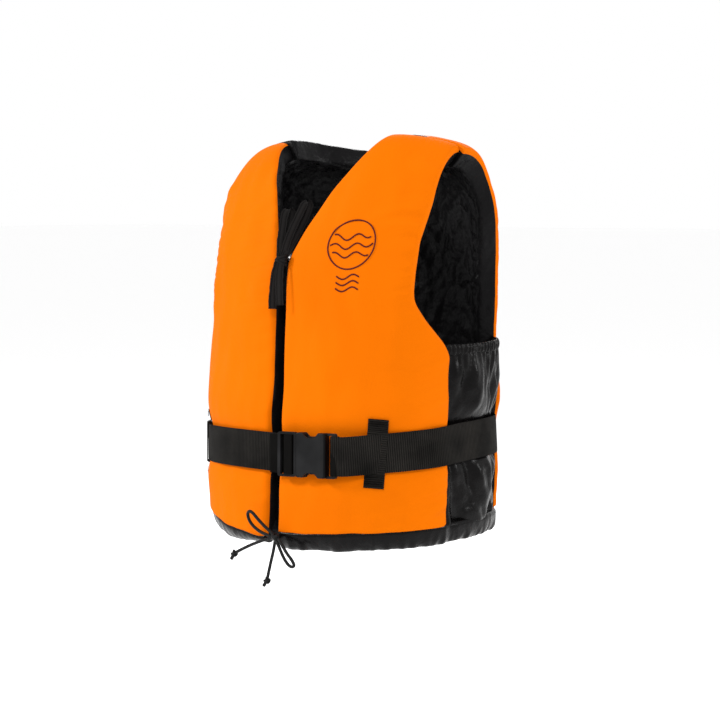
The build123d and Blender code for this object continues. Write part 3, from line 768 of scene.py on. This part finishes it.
print_lines = [[(PRINT_RADIUS * math.cos(turn), PRINT_RADIUS * math.sin(turn))
                for turn in (2 * math.pi * k / 96 for k in range(96))]]
for height, half in ((0.011, 0.0235), (0.0, 0.0275), (-0.011, 0.0235), (-0.041, 0.015),
                     (-0.050, 0.015), (-0.059, 0.015)):
    rights = [half * k / 30 for k in range(-30, 31)]
    print_lines.append([(right, height + WAVE_RISE * math.sin(right / WAVE_REACH))
                        for right in rights])
print_bm = bmesh.new()
for points in print_lines:
    closed = points is print_lines[0]
    line = [on_chest(right, up) for right, up in points]
    first_along = line[1] - line[0]
    band = swept(line, PRINT_LINE, 0.0007, outwards(print_angle, print_level).cross(first_along),
                 closed=closed, around=8)
    add_part(print_bm, band)
print_material = bpy.data.materials.new("print_maroon")
print_material.use_nodes = True
print_shader = print_material.node_tree.nodes["Principled BSDF"]
print_shader.inputs["Base Color"].default_value = (0.070, 0.005, 0.004, 1)
print_shader.inputs["Roughness"].default_value = 0.6
print_shader.inputs["Specular IOR Level"].default_value = 0.1
chest_print = finish_piece("chest_print", print_bm, print_material)
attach(chest_print, "vest")

# ---------------------------------------------------------------------------------------------
# Side panels. Thin black nylon gathered between the front and back panels, with an elastic edge
# in a tunnel at the top of each.
SIDE_DEPTH = 0.009
SIDE_TOP = 0.243
SIDE_FOLD = 0.013          # depth of the loose folds, and of the finer ones on them
SIDE_RUMPLE = 0.0042
SIDE_PLEATS = 17           # across the gathered top edge
PLEAT_DEPTH = 0.0018
nylon_material = cloth_material("nylon_black", (0.0012, 0.001, 0.001), (0.0040, 0.0034, 0.0034),
                                0.27, (0.0006, 0.0006), 0.00002, 0.0009, specular=0.09,
                                tones=(20.0, 120.0))


def side_point(share, height, out=0.0, mirror=1):
    """A point of a side panel; share runs from the front seam to the back seam."""
    first, last = angle_at(SIDE_SEAM_X) - 2.0, 180 - angle_at(BACK_SEAM_X) + 2.0
    angle = first + (last - first) * share
    return body(mirror * angle, height / ARCH_START, SIDE_DEPTH - out), mirror * angle


for side, mirror in (("left", 1), ("right", -1)):
    bm = bmesh.new()
    bmesh.ops.create_grid(bm, x_segments=70, y_segments=64, size=0.5)
    uv = bm.loops.layers.uv.new("cloth")
    for face in bm.faces:
        for loop in face.loops:
            loop[uv].uv = ((loop.vert.co.x + 0.5) * 0.23, (loop.vert.co.y + 0.5) * 0.24)
    for vert in bm.verts:
        u, v = vert.co.x + 0.5, vert.co.y + 0.5
        height = 0.010 + (SIDE_TOP - 0.008) * v
        held = min(1, u / 0.10, (1 - u) / 0.10)
        at_belt = math.exp(-((height - belt_centre(mirror * 100)) / 0.034) ** 4)
        drift = 0.06 * noise.noise(Vector((u * 2, v * 3.0, 3.1 * mirror)))
        lean = (v - 0.5) * (0.35 if v > 0.5 else -0.25)
        folds = noise.noise(Vector(((u + drift + lean) * 6.5, v * 1.2, 7.7 * mirror)))
        folds = math.copysign(abs(folds) ** 0.75, folds)
        fine = noise.noise(Vector(((u + drift - lean) * 17, v * 4.0, 2.2)))
        fine += 0.7 * noise.noise(Vector(((u + lean) * 9, v * 11, 5.2)))
        gather = math.exp(-(1 - v) / 0.10)
        pleat = math.sin(u * 2 * math.pi * SIDE_PLEATS + 2 * noise.noise(Vector((u * 9, v * 4, 1))))
        out = held * ((SIDE_FOLD * folds + SIDE_RUMPLE * fine) * (1 - 0.75 * gather)
                      + PLEAT_DEPTH * pleat * gather)
        out -= at_belt * (max(out + 0.003, 0) + 0.0045)
        place, angle = side_point(u, height, out - 0.001, mirror)
        place.z += (hem_seam(angle) - HEM_SEAM_HEIGHT) * max(0, 1 - v / 0.5)
        vert.co = place
    bmesh.ops.recalc_face_normals(bm, faces=bm.faces)
    piece = finish_piece(f"{side}_side_cloth", bm, nylon_material)
    wall = piece.modifiers.new("cloth", "SOLIDIFY")
    wall.thickness = 0.0006
    wall.offset = 0
    smoother = piece.modifiers.new("smooth", "SUBSURF")
    smoother.levels = smoother.render_levels = 1
    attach(piece, "vest")
    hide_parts(f"{side}_side_panel")

    line = [side_point(k / 160, SIDE_TOP + 0.004, 0, mirror)[0] for k in range(161)]
    bm = swept(line, 0.013, 0.006, (0, 0, 1), around=16, power=2.4)
    for vert in bm.verts:
        along = (vert.co.y + 0.2) / 0.0068
        ruffle = math.sin(along * 2 * math.pi + 3 * noise.noise(vert.co * 90))
        push = Vector((mirror, 0, 0)) * 0.0011 * ruffle
        lift = Vector((0, 0, 1)) * 0.0012 * noise.noise(vert.co * 150)
        vert.co += push + lift
    piece = finish_piece(f"{side}_side_ruffle", bm, nylon_material)
    smoother = piece.modifiers.new("smooth", "SUBSURF")
    smoother.levels = smoother.render_levels = 1
    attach(piece, "vest")
    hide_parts(f"{side}_side_elastic")

# ---------------------------------------------------------------------------------------------
# Hem tunnel. A strip of the lining nylon folded over the drawcord, drawn in a little so that it
# crinkles, right round the vest from one side of the zip to the other.
HEM_PROFILE = [           # inset and height from the seam, once round the tunnel
    (0.0012, 0.003), (0.0018, -0.003), (0.0036, -0.009), (0.0068, -0.0145), (0.0110, -0.0188),
    (0.0150, -0.0192), (0.0180, -0.0160), (0.0190, -0.0100), (0.0180, -0.003), (0.0140, 0.003)]
HEM_SET_IN = 0.0070        # how much further in it lies under the side panels
HEM_GATHER = 0.0030
HEM_FOLD = 0.0024
HEM_DROP = 0.0192          # how far that profile hangs below the seam
first, last = angle_at(0.0075), 360 - angle_at(0.0125)
bm = bmesh.new()
bmesh.ops.create_grid(bm, x_segments=len(HEM_PROFILE), y_segments=560, size=0.5)
uv = bm.loops.layers.uv.new("cloth")
for face in bm.faces:
    for loop in face.loops:
        loop[uv].uv = ((loop.vert.co.x + 0.5) * 0.055, (loop.vert.co.y + 0.5) * 1.05)
for vert in bm.verts:
    k = round((vert.co.x + 0.5) * len(HEM_PROFILE)) % len(HEM_PROFILE)
    angle = first + (last - first) * (vert.co.y + 0.5)
    inset, drop = HEM_PROFILE[k]
    drop *= hem_height(angle) / HEM_DROP if drop < 0 else 1
    along = angle * 0.0031
    low = min(max(-drop / hem_height(angle), 0), 1)
    gather = noise.noise(Vector((along / 0.008, drop / 0.03, 4.4)))
    slow = noise.noise(Vector((along / 0.035, drop / 0.05, 8.8)))
    fold = noise.noise(Vector((along / 0.012 + drop / 0.006, drop / 0.012, 1.2)))
    tight = 1 + 0.55 * ease(-math.sin(math.radians(angle))) * low
    place = body(angle, 0, inset * tight + HEM_SET_IN * beside(angle, 5) * (1 - 0.6 * low)
                 + HEM_GATHER * gather * low + HEM_FOLD * fold * low)
    place.z += hem_seam(angle) + drop + 0.0018 * slow * low
    vert.co = place
bmesh.ops.remove_doubles(bm, verts=bm.verts, dist=1e-6)
ends = [edge for edge in bm.edges if edge.is_boundary]
bmesh.ops.holes_fill(bm, edges=ends, sides=0)
bmesh.ops.recalc_face_normals(bm, faces=bm.faces)
hem = finish_piece("hem_tunnel", bm, nylon_material)
smoother = hem.modifiers.new("smooth", "SUBSURF")
smoother.levels = smoother.render_levels = 1
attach(hem, "vest")
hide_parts("front_left_hem", "front_right_hem", "left_side_hem", "right_side_hem",
            "back_hem")

# ---------------------------------------------------------------------------------------------
# Zip. Woven tapes sewn inside the panels' edges, moulded coils, and a cast slider whose pull
# hangs in the recess. The pieces keep their own shapes.
tape_material = cloth_material("zip_tape", (0.006, 0.0045, 0.0045), (0.014, 0.0105, 0.0105), 0.8,
                               (0.0012, 0.0008), 0.0001, specular=0.05)


def moulded_material(name, dark, light, rough, grain, metallic=0.0):
    """Moulded or cast parts: fine grain, and a painted highlight that makes the sharp edges a little
    lighter.
    """
    material = bpy.data.materials.new(name)
    material.use_nodes = True
    tree = material.node_tree
    n = Nodes(tree)
    shader = tree.nodes["Principled BSDF"]
    tone = n.add("ShaderNodeGroup")
    tone.node_tree = tone_group
    tone.inputs["Large"].default_value = 40.0
    tone.inputs["Fine"].default_value = 900.0
    # painted highlight: edges found by the mesh's pointiness get a lighter colour, as if catching
    # the light
    edges = n.math("MULTIPLY_ADD", n.add("ShaderNodeNewGeometry").outputs["Pointiness"],
                   14.0, -7.1, clamp=True)
    edge_highlight = n.math("MULTIPLY", edges, tone.outputs["Tone"])
    base = n.mix(tone.outputs["Tone"], (*dark, 1), (*light, 1))
    n.feed(shader, "Base_Color", n.mix(edge_highlight, base, (*[value * 4 for value in light], 1)))
    n.feed(shader, "Roughness", n.math("MULTIPLY_ADD", tone.outputs["Mottle"], 0.2, rough - 0.1))
    shader.inputs["Metallic"].default_value = metallic
    shader.inputs["Specular IOR Level"].default_value = 0.5 if metallic else 0.055
    bump = n.add("ShaderNodeBump", Height=tone.outputs["Mottle"], Strength=1.0, Distance=grain)
    n.feed(shader, "Normal", bump.outputs["Normal"])
    return material


def finish_nodes(material, *nodes):
    """Gives CAD pieces their material."""
    for node in nodes:
        piece = bpy.data.objects[node]
        piece.data.materials.clear()
        piece.data.materials.append(material)


teeth_material = moulded_material("zip_teeth", (0.004, 0.004, 0.004), (0.01, 0.01, 0.01),
                                  0.4, 0.0001)
metal_material = moulded_material("zip_metal", (0.060, 0.058, 0.058), (0.11, 0.107, 0.105),
                                  0.35, 0.00005, metallic=0.8)
finish_nodes(tape_material, "zip_tape_left", "zip_tape_right")
finish_nodes(teeth_material, "zip_coil_left", "zip_coil_right", "zip_top_stops",
             "zip_bottom_stop")
finish_nodes(metal_material, "zip_slider", "zip_pull")

# ---------------------------------------------------------------------------------------------
# Waist belt. Ribbed webbing from the buckle's socket round the back to the plug. The last run
# slides in the wearer's right keeper, and is left unattached to the vest.
BELT_WIDTH = 0.048
BELT_THICKNESS = 0.0018
SOCKET_LIFT = 0.0029       # how far the belt stands off where it leaves the socket
SIDE_GIVE = 0.0105         # how far it presses the side panels in
webbing_material = cloth_material("webbing", (0.0045, 0.0042, 0.0038), (0.019, 0.017, 0.015), 0.7,
                                  (0.0016, 0.0027), 0.0013, 0.0001, specular=0.035,
                                  tones=(30.0, 300.0), ribs=0.85)
belt_start = angle_at(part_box("buckle_socket")[1].x - 0.001)
joints = {joint["name"]: joint for joint in frame["joints"]}
bar_along = -Vector(joints["buckle_release"]["axis"])
bar_out = Vector(joints["arm_upper_flex"]["axis"])
arm_places = [Vector(joints[name]["pos_m"]) for name in ("arm_upper_flex", "arm_lower_flex")]
bar_end = (arm_places[0] + arm_places[1]) / 2 + bar_along * 0.0525
belt_end = 360 + angle_at(0.020)
keeper_angle = 360 + angle_at(-0.166)


def belt_run(first, last, steps):
    """The belt's centre line between two stations: close to the panels, slacker at the side
    panels, and lifted where it leaves the socket."""
    run = []
    for k in range(steps + 1):
        angle = first + (last - first) * k / steps
        lift = SOCKET_LIFT * (1 - ease((angle - belt_start) / 8))
        run.append(body(angle, belt_centre(angle) / ARCH_START,
                        -0.0006 - BELT_THICKNESS / 2 - lift + SIDE_GIVE * beside(angle, 20)))
    return run


for name, first, last, steps in (("belt_run_round_back", belt_start, keeper_angle, 240),
                                 ("belt_run_to_plug", keeper_angle, belt_end, 80)):
    run = belt_run(first, last, steps)
    if first == belt_start:
        run = smooth_line([bar_end + bar_out * 0.0034 - bar_along * 0.0045,
                           bar_end + bar_out * 0.0040,
                           bar_end + bar_out * 0.0034 + bar_along * 0.006,
                           bar_end + bar_out * 0.0004 + bar_along * 0.014] + run[16::4])
    bm = swept(run, BELT_WIDTH, BELT_THICKNESS, (0, 0, 1), around=28, power=6)
    piece = finish_piece(name, bm, webbing_material)
    if name == "belt_run_to_plug":
        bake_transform(piece)
    else:
        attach(piece, "vest")
    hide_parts("waist_belt")
finish_nodes(webbing_material, "belt_fold", "belt_socket_loop")

# ---------------------------------------------------------------------------------------------
# Belt keepers. Short lengths of narrower webbing sewn to the panels above and below the belt,
# with bar tacks at both ends.
KEEPER_WIDTH = 0.025
KEEPER_THICKNESS = 0.0014
KEEPER_HALF = 0.042        # half the length, over both sewn ends
OVER_BELT = 0.0033         # height of its middle, which passes over the belt
TACK_THREAD = 0.0007
keepers = {               # place round the vest, panel, lift off its face, lean
    "belt_keeper_front_left": (angle_at(0.1325), "front_left", 0.0020, 0.045),
    "belt_keeper_front_right": (angle_at(-0.162), "front_right", 0.0001, 0),
    "belt_keeper_back_left": (180 - angle_at(0.080), "back", 0.0014, 0),
    "belt_keeper_back_right": (180 + angle_at(0.080), "back", 0.0014, 0),
}
for name, (angle, stem, lifted, tilt) in keepers.items():
    level = belt_centre(angle) / ARCH_START
    foot = body(angle, level)
    up = (body(angle, level + 0.1) - body(angle, level - 0.1)).normalized()
    aside = (body(angle + 1, level) - body(angle - 1, level)).normalized()
    out = aside.cross(up)
    up, aside = (up + aside * tilt).normalized(), (aside - up * tilt).normalized()
    line = []
    for k in range(41):
        height = -KEEPER_HALF + 2 * KEEPER_HALF * k / 40
        over = 1 - ease((abs(height) - 0.0250) / 0.003)
        on_face = puff(foot + up * height, angle, level * ARCH_START, 0.05, 1, SEEDS[stem])
        rise = OVER_BELT * over + (on_face + lifted) * (1 - over)
        line.append(foot + up * height + out * rise)
    bm = swept(line, KEEPER_WIDTH, KEEPER_THICKNESS, aside, around=22, power=6)
    for end in (-1, 1):
        for row in range(2):
            last = line[0] if end < 0 else line[-1]
            centre = last - up * end * (0.004 + 0.003 * row) + out * 0.0008
            tack = [centre + aside * (-0.0105 + 0.021 * k / 30)
                    + up * 0.0006 * (-1) ** k for k in range(31)]
            add_part(bm, swept(tack, TACK_THREAD, TACK_THREAD, out, around=6, power=2))
    piece = finish_piece(f"{name}_webbing", bm, webbing_material)
    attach(piece, "vest")
    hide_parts(name)

# ---------------------------------------------------------------------------------------------
# Side-release buckle, moulded in dark grey acetal: a socket, and a plug with two spring arms
# that snap into it. Its pieces keep their own shapes.
buckle_material = moulded_material("acetal_grey", (0.0022, 0.0022, 0.0023),
                                   (0.0045, 0.0045, 0.0047), 0.34, 0.00006)
finish_nodes(buckle_material, "buckle_socket", "buckle_plug", "buckle_arm_upper",
             "buckle_arm_lower")

# ---------------------------------------------------------------------------------------------
# Floor and light of a plain studio: a pale floor below the vest, even white light from all
# round, and four round soft lamps.
FLOOR_HEIGHT = -0.90
floor_bm = bmesh.new()
bmesh.ops.create_grid(floor_bm, x_segments=1, y_segments=1, size=60)
bmesh.ops.translate(floor_bm, verts=floor_bm.verts, vec=(0, 0, FLOOR_HEIGHT))
floor_material = bpy.data.materials.new("pale_floor")
floor_material.use_nodes = True
floor_shader = floor_material.node_tree.nodes["Principled BSDF"]
floor_shader.inputs["Base Color"].default_value = (0.98, 0.98, 0.98, 1)
floor_shader.inputs["Roughness"].default_value = 0.9
floor_shader.inputs["Specular IOR Level"].default_value = 0.1
floor = finish_piece("floor", floor_bm, floor_material, smooth=False)
floor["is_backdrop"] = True

world = bpy.data.worlds.new("studio")
world.use_nodes = True
world.node_tree.nodes["Background"].inputs["Color"].default_value = (1, 1, 1, 1)
world.node_tree.nodes["Background"].inputs["Strength"].default_value = 1.0
bpy.context.scene.world = world


def soft_light(name, place, size, power):
    """A round lamp aimed at the vest."""
    data = bpy.data.lights.new(name, "AREA")
    data.energy = power
    data.shape = "DISK"
    data.size = size
    lamp = bpy.data.objects.new(name, data)
    lamp.location = place
    lamp.rotation_euler = (Vector((0, 0, -0.25)) - Vector(place)).to_track_quat("-Z", "Y").to_euler()
    bpy.context.scene.collection.objects.link(lamp)


soft_light("key", (-1.7, -1.8, 1.2), 0.5, 62)
soft_light("front", (1.5, -2.3, 1.8), 0.7, 34)
soft_light("side", (2.6, 0.9, 0.8), 0.45, 34)
soft_light("rim", (-1.2, 2.2, 1.6), 1.0, 40)
bpy.context.scene.view_settings.view_transform = "Standard"

low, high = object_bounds()
